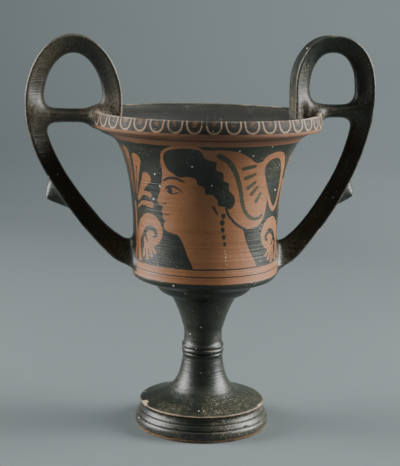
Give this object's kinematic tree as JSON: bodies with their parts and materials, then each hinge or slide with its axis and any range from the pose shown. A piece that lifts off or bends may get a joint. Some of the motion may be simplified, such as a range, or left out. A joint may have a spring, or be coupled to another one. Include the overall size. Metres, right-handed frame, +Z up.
{
  "type": "stemmed two-handled drinking cup",
  "caption": "Turned clay drinking cup: ringed stem on a moulded foot, flaring bell bowl with an egg-pattern rim, high looped strap handles with struts and spurs.",
  "frame": {"origin": "middle of the whole cup's bounding box, on the surface that it stands on; the stem's axis is 3.15 mm from it towards +X, because the left handle reaches further out than the right", "axes": "+Z up along the stem, the two handles along X, the painted head on the -Y side"},
  "size_m": [0.1728, 0.1138, 0.1989],
  "materials": {
    "black_gloss": "worn black gloss slip over orange fired clay, with the panel and its lines left in the clay's colour"
  },
  "bodies": {
    "root": {"kantharos": "black_gloss"}
  },
  "joints": []
}
